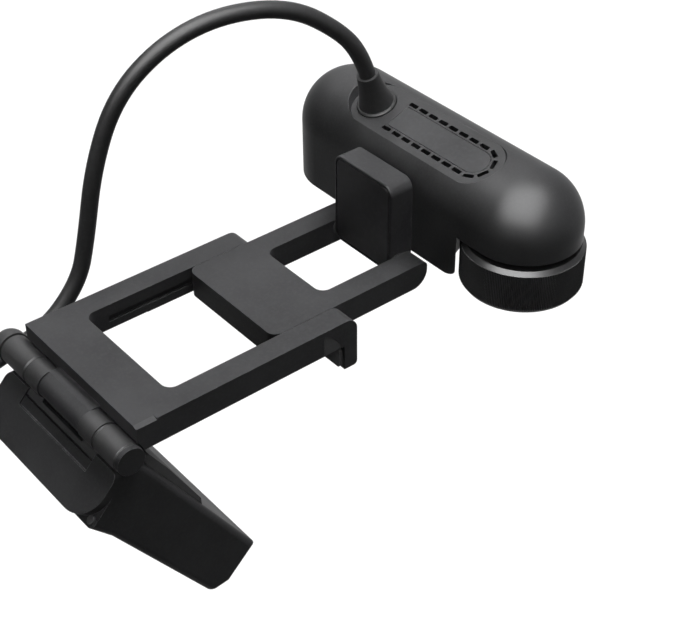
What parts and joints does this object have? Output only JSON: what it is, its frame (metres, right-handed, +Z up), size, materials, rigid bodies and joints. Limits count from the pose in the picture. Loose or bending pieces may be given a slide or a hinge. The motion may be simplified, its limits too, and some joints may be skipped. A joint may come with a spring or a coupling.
{
  "type": "launch monitor",
  "caption": "Screen-top sensor head on a sliding clip: capsule head with a knurled focus dial, tilting block, folding rear leg and a lead to a plug.",
  "frame": {"origin": "centre of the rest pads' underside, where the clip sits on the screen's top edge", "axes": "+Z up, -Y towards the screen's viewing side, +X to the right seen from that side"},
  "size_m": [0.1114, 0.2208, 0.2479],
  "materials": {
    "clip_plastic": "fine matte moulded, black",
    "head_plastic": "satin moulded, black",
    "panel_plastic": "matte moulded, black",
    "soft_rubber": "matte rubber, black",
    "cord_rubber": "smooth matte cord jacket, black",
    "dial_metal": "black anodised, knurled band",
    "black_steel": "black lacquered steel",
    "screw_steel": "plain steel",
    "heat_aluminium": "bare aluminium",
    "board_green": "printed circuit board",
    "barrel_black": "black anodised",
    "lens_glass": "coated optical glass",
    "plug_steel": "bright plated steel",
    "plug_white": "white insulator",
    "tie_fabric": "woven hook-and-loop strap, black"
  },
  "bodies": {
    "clip": {"bracket_plate": "clip_plastic", "rest_pads": "soft_rubber", "lip_pad": "soft_rubber", "hinge_pin": "screw_steel", "hinge_sleeves": "black_steel", "hinge_washers": "screw_steel", "hinge_cap_near": "black_steel", "hinge_cap_far": "black_steel"},
    "slider": {"slider_arm": "clip_plastic", "slide_glides": "panel_plastic", "tilt_pin": "screw_steel"},
    "head": {"tilt_block": "clip_plastic", "tilt_block_cover": "panel_plastic", "friction_washers": "screw_steel", "head_housing": "head_plastic", "head_base": "panel_plastic", "top_panel": "panel_plastic", "strain_relief": "cord_rubber", "cord": "cord_rubber", "cord_coil": "cord_rubber", "cord_tail": "cord_rubber", "coil_tie": "tie_fabric", "plug_grip": "cord_rubber", "plug_shell": "plug_steel", "plug_tongue": "plug_white", "block_screws": "screw_steel", "base_screws": "black_steel", "board_screws": "screw_steel", "main_board": "board_green", "sensor_board": "board_green", "heat_spreader": "heat_aluminium", "lens_barrel": "barrel_black", "dial_retaining_ring": "barrel_black"},
    "dial": {"focus_dial": "dial_metal"},
    "lens_group": {"lens_cell": "barrel_black", "lens_glass": "lens_glass"},
    "leg": {"leg_shell": "clip_plastic", "leg_cover": "panel_plastic", "leg_pad": "soft_rubber", "hinge_leaf": "black_steel", "leaf_screws": "screw_steel", "leg_side_screws": "black_steel"}
  },
  "joints": [
    {"name": "slider_slide", "type": "slide", "parent": "clip", "child": "slider", "axis": [0, 1, 0], "range_m": [-0.008, 0.027]},
    {"name": "head_tilt", "type": "hinge", "parent": "slider", "child": "head", "pos_m": [0, -0.0477, 0.0063], "axis": [1, 0, 0], "range_deg": [-20, 45]},
    {"name": "dial_turn", "type": "hinge", "parent": "head", "child": "dial", "pos_m": [-0.04, -0.06888, 0.014], "axis": [0, 0, 1], "range_deg": [-60, 60]},
    {"name": "lens_focus", "type": "slide", "parent": "head", "child": "lens_group", "axis": [0, 0, 1], "range_m": [-0.0011, 0.0011]},
    {"name": "leg_fold", "type": "hinge", "parent": "clip", "child": "leg", "pos_m": [0, 0.0518, 0.0009], "axis": [1, 0, 0], "range_deg": [-20, 70]}
  ],
  "couplings": [
    {"joint": "lens_focus", "follows": "dial_turn", "m_per_rad": 0.00095493}
  ]
}
